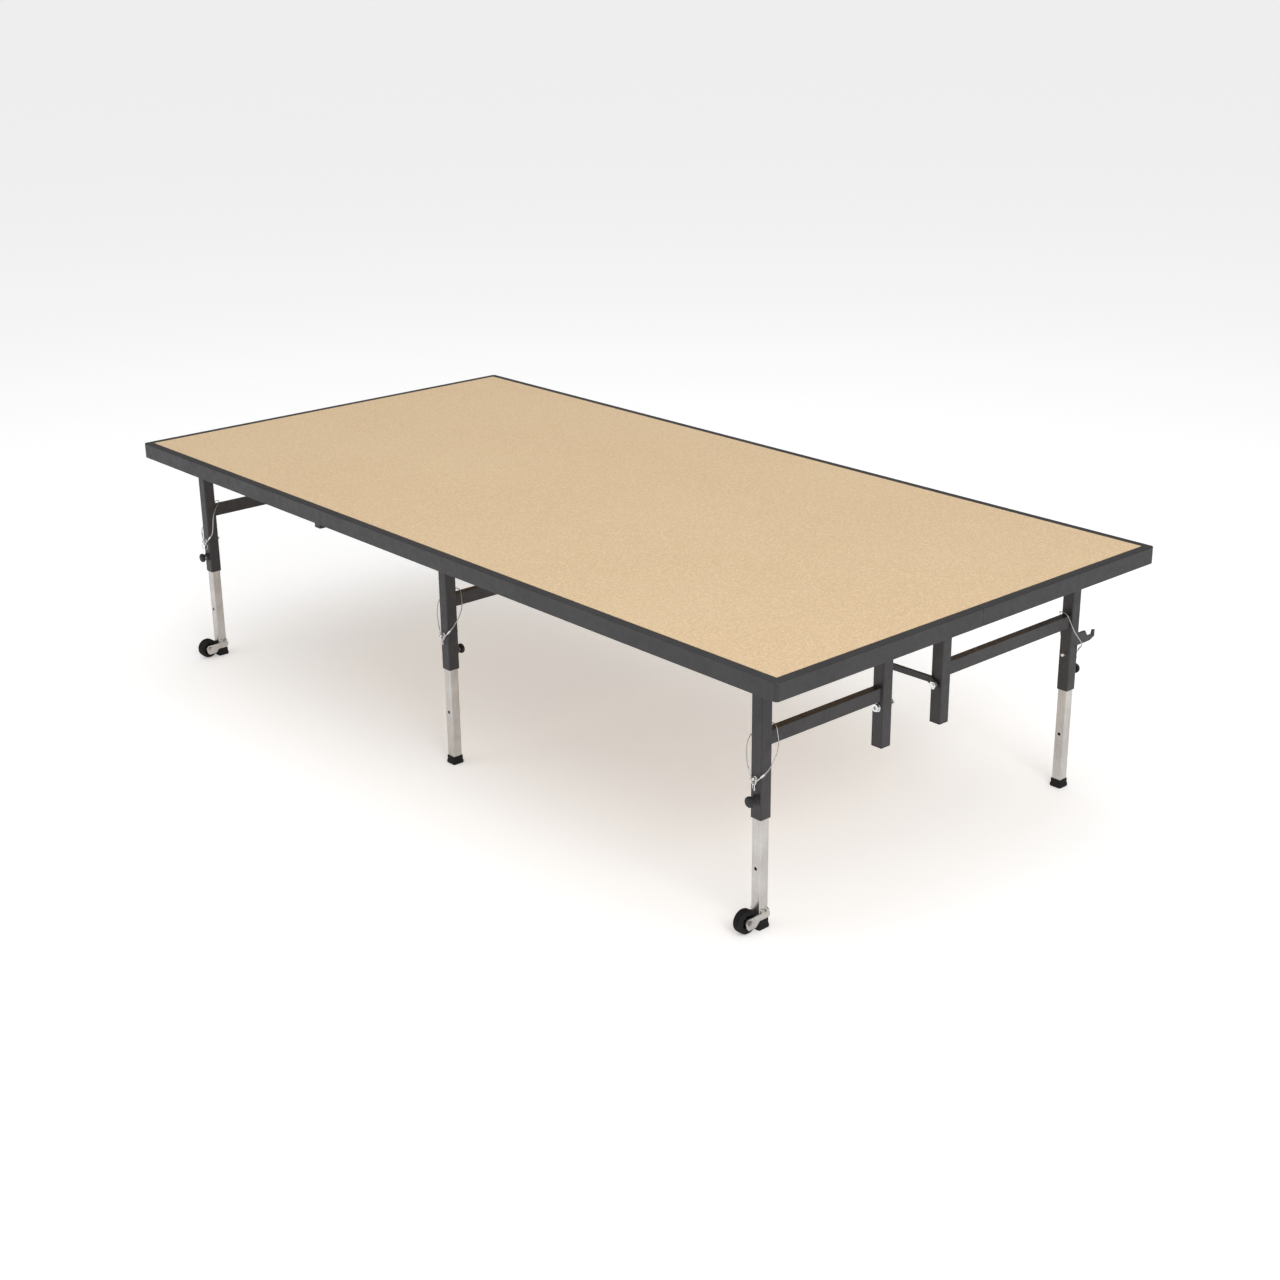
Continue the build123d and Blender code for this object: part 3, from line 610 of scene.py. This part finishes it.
def lock_pin(leg):
    """Pin with a grooved collar and eye, and the plain link through it."""
    body = leg.body("pin")
    pin = Shell()
    pin.lathe((0, 0, PIN_Z), (0, 1, 0), PIN_PROFILE)
    tab = []
    for x, edge in TAB_STATIONS:
        outline = [(EYE_OUT + edge * math.cos(a), PIN_Z + edge * math.sin(a))
                   for a in (math.pi * (k / 16 - 0.5) for k in range(17))]
        outline += [(TAB_ROOT, PIN_Z + edge), (TAB_ROOT, PIN_Z - edge)]
        tab.append([(x, y, z) for y, z in outline])
    pin.loft(tab)
    piece = pin.make(f"{leg.name}_pin_shank", NICKEL, body, leg)
    drill(piece, leg.place((0, EYE_OUT, PIN_Z)), EYE_R * MM, EYE_CUT * MM)
    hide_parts(f"{leg.name}_lock_pin")

    link = Shell()
    link_z = PIN_Z - LINK_R
    link.tube([(LINK_R * math.sin(a), EYE_OUT, link_z + LINK_R * math.cos(a)) for a in circle(72)],
              LINK_WIRE_R, count=14, loop=True)
    link.make(f"{leg.name}_link", BRIGHT, body, leg)


def drill(piece, centre, radius, length):
    """Cuts a round hole along X through a finished piece."""
    bit = Shell()
    bit.lathe((0, 0, 0), (1, 0, 0), [(-length / 2, radius), (length / 2, radius)], count=40)
    points = [Vector(v) + Vector(centre) for v in bit.verts]
    cutter = add_object("bit", closed_mesh("bit", points, bit.faces))
    cut = piece.modifiers.new("hole", "BOOLEAN")
    cut.operation = "DIFFERENCE"
    cut.solver = "EXACT"
    cut.object = cutter
    bpy.context.view_layer.update()
    cut_piece = piece.evaluated_get(bpy.context.evaluated_depsgraph_get())
    drilled = bpy.data.meshes.new_from_object(cut_piece)
    piece.modifiers.remove(cut)
    piece.data = drilled
    bpy.data.objects.remove(cutter)
    drilled.set_sharp_from_angle(angle=math.radians(SMOOTH_BELOW))


def pull_ring(leg):
    """Split ring of two coils, hung through the link."""
    turn = math.radians(RING_TURN)
    across = Vector((math.cos(turn), math.sin(turn), 0))
    facing = Vector((-math.sin(turn), math.cos(turn), 0))
    centre = Vector((0, EYE_OUT, PIN_Z - 2 * LINK_R + RING_RISE - RING_R))
    coils = 2.0
    coil = []
    for k in range(RING_STEPS + 1):
        share = k / RING_STEPS
        angle = math.tau * coils * share + RING_START
        spot = across * RING_R * math.sin(angle) + facing * RING_PITCH * (share - 0.5)
        coil.append(centre + spot + Vector((0, 0, RING_R * math.cos(angle))))
    ring = Shell()
    ring.tube(coil, RING_WIRE_R, count=14)
    ring.make(f"{leg.name}_pull_ring", BRIGHT, leg.body("pin"), leg)


LOOP_WIRE_R = 0.75
STEM_WIRE_R = 0.72
STEM_APART = 0.78
STEM_TWIST = 0.62
STEM_STEPS = 40
CRIMPS = 3
CRIMP_PITCH = 3.5


def ferrules(leg):
    """The rope's two end loops, their twisted stems and the crimped ferrules."""
    ends = Shell()
    for side in (-1, 1):
        along, at = ferrule_run(side)
        wire = Vector((LOOP_Z - PIN_Z + LINK_R, 0, -side * LOOP_X))
        axis = (wire - along * wire.dot(along)).normalized()
        across = axis.cross(along)
        loop = [at(0) + (along * math.cos(a) + across * math.sin(a)) * LOOP_R for a in circle(48)]
        ends.tube(loop, LOOP_WIRE_R, count=12, loop=True)
        for phase in (0.0, math.pi):
            strand = []
            for k in range(STEM_STEPS + 1):
                t = LOOP_R + (FERRULE_START + 1.0 - LOOP_R) * k / STEM_STEPS
                twist = phase + t * STEM_TWIST
                spoke = across * math.cos(twist) + axis * math.sin(twist)
                strand.append(at(t) + spoke * STEM_APART)
            ends.tube(strand, STEM_WIRE_R, count=12)
        crimps = [(FERRULE_START, 1.5), (FERRULE_START + 0.5, 2.2)]
        for k in range(CRIMPS):
            base = FERRULE_START + 1.6 + CRIMP_PITCH * k
            crimps += [(base, 2.4), (base + 0.7, 1.95), (base + 1.7, 1.95), (base + 2.4, 2.4)]
        crimps += [(FERRULE_END - 0.5, 2.2), (FERRULE_END, 1.4)]
        ends.lathe(at(0), along, crimps, count=28)
    ends.make(f"{leg.name}_ferrules", BRIGHT, leg.body("pin"), leg)


# ---------------------------------------------------------------- clamp knobs

# Distance from the leg's centre and radius, for the grip and for the plated neck
GRIP_PROFILE = [
    (KNOB_BACK, 5.2), (KNOB_BACK, 8.4), (KNOB_BACK + 0.6, 10.2), (KNOB_BACK + 1.6, 11.5),
    (KNOB_BACK + 2.8, 12.0), (KNOB_FRONT - 4.4, 12.0), (KNOB_FRONT - 2.6, 11.5),
    (KNOB_FRONT - 1.2, 10.2), (KNOB_FRONT - 0.4, 8.0), (KNOB_FRONT, 5.0), (KNOB_FRONT, 0.6),
]
NECK_PROFILE = [(BOSS_FACE + 0.3, 4.8), (BOSS_FACE + 0.8, 5.9), (BOSS_FACE + 3.0, 6.0),
                (BOSS_FACE + 3.4, 5.5), (KNOB_BACK, 5.5)]
FLUTES = 24
FLUTE_DEPTH = 0.3
STUD_TURNS = 7


def clamp_knob(leg):
    """Fluted knob with a crowned face on a plated neck and threaded stud."""
    body = leg.body("knob")
    out = (0, leg.knob, 0)
    origin = (0, 0, KNOB_Z)
    grip = Shell()

    def flutes(along, radius, turn):
        if KNOB_BACK + 1.5 < along < KNOB_FRONT - 2 and radius > 11.5:
            return -FLUTE_DEPTH * (1 - abs(math.cos(turn * FLUTES / 2))) ** 0.7
        return 0.0

    grip.lathe(origin, out, GRIP_PROFILE, count=144, wobble=flutes)
    piece = grip.make(f"{leg.name}_knob_grip", PLASTIC, body, leg, sharp=50)
    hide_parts(f"{leg.name}_clamp_knob")
    neck = Shell()
    neck.lathe(origin, out, NECK_PROFILE, count=48)
    thread = [(13.0, 2.8)]
    for k in range(STUD_TURNS):
        thread += [(13.5 + k, 3.35), (14.0 + k, 3.95)]
    thread += [(BOSS_FACE + 1.0, 3.9)]
    neck.lathe(origin, out, thread, count=32)
    neck.make(f"{leg.name}_knob_neck", BRIGHT, body, leg)


# ---------------------------------------------------------------- feet

# Side of the square, corner radius and height
FOOT_PROFILE = [
    (29.0, 3.5, 0.0), (30.6, 4.2, 0.5), (31.7, 4.8, 1.8), (32.0, 5.0, 3.4), (32.0, 5.0, 6.0),
    (31.4, 4.8, 7.4), (30.0, 4.4, 8.8), (29.2, 4.1, 10.4), (29.0, 4.0, 12.0), (28.4, 3.8, 12.3),
    (28.4, 3.8, 13.0), (29.0, 4.0, 13.3), (29.0, 4.0, 19.0), (28.2, 3.6, 20.2),
    (26.6, 3.0, 20.5), (25.1, 2.6, 20.1), (25.1, 2.6, 10.0),
]


def rounded_square(size, corner, z, steps=6):
    """A square ring with round corners at one height."""
    ring = []
    reach = size / 2 - corner
    for quarter in range(4):
        cx = reach * (1, -1, -1, 1)[quarter]
        cy = reach * (1, 1, -1, -1)[quarter]
        for k in range(steps + 1):
            turn = math.pi / 2 * (quarter + k / steps)
            ring.append((cx + corner * math.cos(turn), cy + corner * math.sin(turn), z))
    return ring


def foot(leg):
    """Rubber foot: flared tread, ribbed sleeve and a lip round the plated tube."""
    rubber_foot = Shell()
    rubber_foot.loft([rounded_square(*row) for row in FOOT_PROFILE])
    piece = rubber_foot.make(f"{leg.name}_rubber_foot", RUBBER, leg.body("leg"), leg, 30)
    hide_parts(f"{leg.name}_foot")


for leg in LEGS:
    lock_pin(leg)
    pull_ring(leg)
    ferrules(leg)
    clamp_knob(leg)
    foot(leg)

# ---------------------------------------------------------------- transport wheels

# Distance along the axle and radius: one half of the tyre, then the hub's rim, core and web
TYRE_HALF = [(0.6, 25.0), (0.8, 26.0), (3.6, 26.0), (3.8, 25.0), (5.0, 25.0), (5.2, 25.9),
             (8.2, 25.7), (9.8, 24.9), (10.8, 23.4), (11.0, 21.4), (10.2, 21.0), (10.2, 20.2),
             (11.0, 19.8), (10.9, 17.6), (9.6, 16.6)]
HUB_RIM = [(-9.4, 16.7), (-9.9, 16.0), (-9.4, 15.2), (-2.0, 14.6), (2.0, 14.6), (9.4, 15.2),
           (9.9, 16.0), (9.4, 16.7)]
HUB_CORE = [(-11.0, 3.4), (-11.0, 5.8), (-10.4, 6.6), (-2.0, 7.4), (2.0, 7.4), (10.4, 6.6),
            (11.0, 5.8), (11.0, 3.4)]
HUB_WEB = [(-1.6, 7.2), (-1.6, 15.0), (1.6, 15.0), (1.6, 7.2)]
# Distance from the axle, half width and half depth
SPOKE = ((6.8, 1.5, 9.6), (11.0, 1.1, 8.6), (15.1, 1.5, 8.8))
SPOKES = 6
TREAD_BLOCKS = 20
TREAD_DEPTH = 0.5


def wheel(leg):
    """Grooved tyre on a spoked hub."""
    body = f"{leg.station}_wheel_turn"
    origin = (0, WHEEL_OUT, WHEEL_Z)
    profile = [(-x, r) for x, r in reversed(TYRE_HALF)] + TYRE_HALF

    def tread(along, radius, turn):
        block = (turn * TREAD_BLOCKS / math.tau + (0.5 if along > 0 else 0.0)) % 1.0
        return -TREAD_DEPTH if radius > 25.3 and abs(along) < 9 and block < 0.12 else 0.0

    tyre = Shell()
    tyre.lathe(origin, (1, 0, 0), profile, count=200, wobble=tread, loop=True)
    piece = tyre.make(f"{leg.station}_tyre", RUBBER, body, leg, 30)
    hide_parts(f"{leg.station}_wheel")

    hub = Shell()
    hub.lathe(origin, (1, 0, 0), HUB_RIM, count=72, loop=True)
    hub.lathe(origin, (1, 0, 0), HUB_CORE, count=48, loop=True)
    hub.lathe(origin, (1, 0, 0), HUB_WEB, count=72, loop=True)
    for turn in circle(SPOKES):
        along = Vector((0, math.cos(turn), math.sin(turn)))
        across = Vector((0, -math.sin(turn), math.cos(turn)))
        centre = Vector(origin)
        rings = []
        for reach, width, depth in SPOKE:
            middle = centre + along * reach
            corners = ((-1, -1), (1, -1), (1, 1), (-1, 1))
            rings.append([middle + across * width * a + Vector((depth * b, 0, 0)) for a, b in corners])
        hub.loft(rings)
    hub.make(f"{leg.station}_wheel_hub", PLASTIC, body, leg, 35, bevel=0.0003)


for leg in LEGS:
    if leg.side == "near" and leg.station in WHEELED:
        wheel(leg)

# ---------------------------------------------------------------- weld beads

SEAM_GAP = 0.3
BEAD_STEP = 0.55
CROSSBAR_BEAD_R = 1.5
BOSS_BEAD_R = 1.1
BOSS_SEAM_R = 10.2


def bead(shell, points, radius):
    """A rippled weld run along a closed line of corners."""
    line = []
    for a, b in zip(points, points[1:] + points[:1]):
        a, b = Vector(a), Vector(b)
        steps = max(2, round((b - a).length / BEAD_STEP))
        line += [a.lerp(b, k / steps) for k in range(steps)]
    heights = [DICE.uniform(-0.12, 0.12) for _ in line]

    def ripple(i, turn):
        return radius * (0.16 * math.sin(i * 1.45) + heights[i] * 0.5)

    shell.tube(line, radius, count=10, loop=True, wobble=ripple)


def rectangle(y, half_x, low, high):
    """Corners of an upright rectangle across the crossbar's run."""
    return [(-half_x, y, low), (half_x, y, low), (half_x, y, high), (-half_x, y, high)]


def welds(leg):
    """Beads where the crossbar meets both tubes and round the knob's boss."""
    runs = Shell()
    span = SPANS[leg.side]
    low, high = CROSSBAR_Z
    for y in (-TUBE_HALF - 0.4, -span + TUBE_HALF + 0.4):
        seam = rectangle(y, CROSSBAR_HALF + SEAM_GAP, low - SEAM_GAP, high + SEAM_GAP)
        bead(runs, seam, CROSSBAR_BEAD_R)
    seam_y = leg.knob * (TUBE_HALF + SEAM_GAP)
    boss = [(BOSS_SEAM_R * math.cos(a), seam_y, KNOB_Z + BOSS_SEAM_R * math.sin(a)) for a in circle(40)]
    bead(runs, boss, BOSS_BEAD_R)
    runs.make(f"{leg.name}_weld_beads", FRAME_BLACK, leg.body(), leg, sharp=75)


for leg in LEGS:
    welds(leg)

# ---------------------------------------------------------------- floor and light

FLOOR_HALF = 70.0
FLOOR_LOOK = {"Base Color": (0.9, 0.9, 0.9, 1), "Roughness": 0.9, "Emission Color": (1, 1, 1, 1),
              "Emission Strength": 0.34}
# Height of a direction, from 0 at the horizon to 1 straight up, and the sky's grey there
SKY = ((0.0, 0.82), (0.04, 0.56), (0.10, 0.20), (0.35, 0.21), (0.75, 0.72), (1.0, 0.82))
# Name, place, target, side of the square and power in watts
SOFTBOXES = (
    ("key", (4.6, -1.8, 3.2), (0.2, 0, 0.3), 2.6, 98),
    ("fill", (-1.8, -4.8, 2.0), (-0.4, 0, 0.3), 3.5, 34),
    ("top", (-0.5, 0.6, 4.8), (0, 0, 0.5), 4.0, 42),
)


def make_floor():
    """A pale floor, wide enough to fill the view."""
    half = FLOOR_HALF
    corners = [(-half, -half, 0), (half, -half, 0), (half, half, 0), (-half, half, 0)]
    mesh = bpy.data.meshes.new("studio_floor")
    mesh.from_pydata(corners, [], [(0, 1, 2, 3)])
    paint = bpy.data.materials.new("studio_white")
    paint.use_nodes = True
    for socket, value in FLOOR_LOOK.items():
        paint.node_tree.nodes["Principled BSDF"].inputs[socket].default_value = value
    mesh.materials.append(paint)
    add_object("studio_floor", mesh)


def soft_light(name, place, target, size, power):
    """A square softbox at a place, facing a target."""
    data = bpy.data.lights.new(name, "AREA")
    data.energy = power
    data.size = size
    light = add_object(name, data)
    light.location = place
    facing = (Vector(target) - Vector(place)).to_track_quat("-Z", "Y")
    light.rotation_euler = facing.to_euler()


def make_light():
    """Three softboxes under a sky that is pale at the horizon and overhead and dark between."""
    world = bpy.data.worlds.new("studio")
    world.use_nodes = True
    nodes, links = world.node_tree.nodes, world.node_tree.links
    sky = nodes["Background"]
    height = nodes.new("ShaderNodeSeparateXYZ")
    links.new(nodes.new("ShaderNodeTexCoord").outputs["Generated"], height.inputs["Vector"])
    shade = nodes.new("ShaderNodeValToRGB")
    marks = shade.color_ramp.elements
    while len(marks) < len(SKY):
        marks.new(0.5)
    for mark, (place, grey) in zip(marks, SKY):
        mark.position = place
        mark.color = (grey, grey, grey, 1)
    links.new(height.outputs["Z"], shade.inputs["Fac"])
    links.new(shade.outputs["Color"], sky.inputs["Color"])
    sky.inputs["Strength"].default_value = 1.0
    bpy.context.scene.world = world
    for box in SOFTBOXES:
        soft_light(*box)
    bpy.context.scene.view_settings.view_transform = "Standard"
    bpy.context.scene.view_settings.look = "None"


make_floor()
make_light()
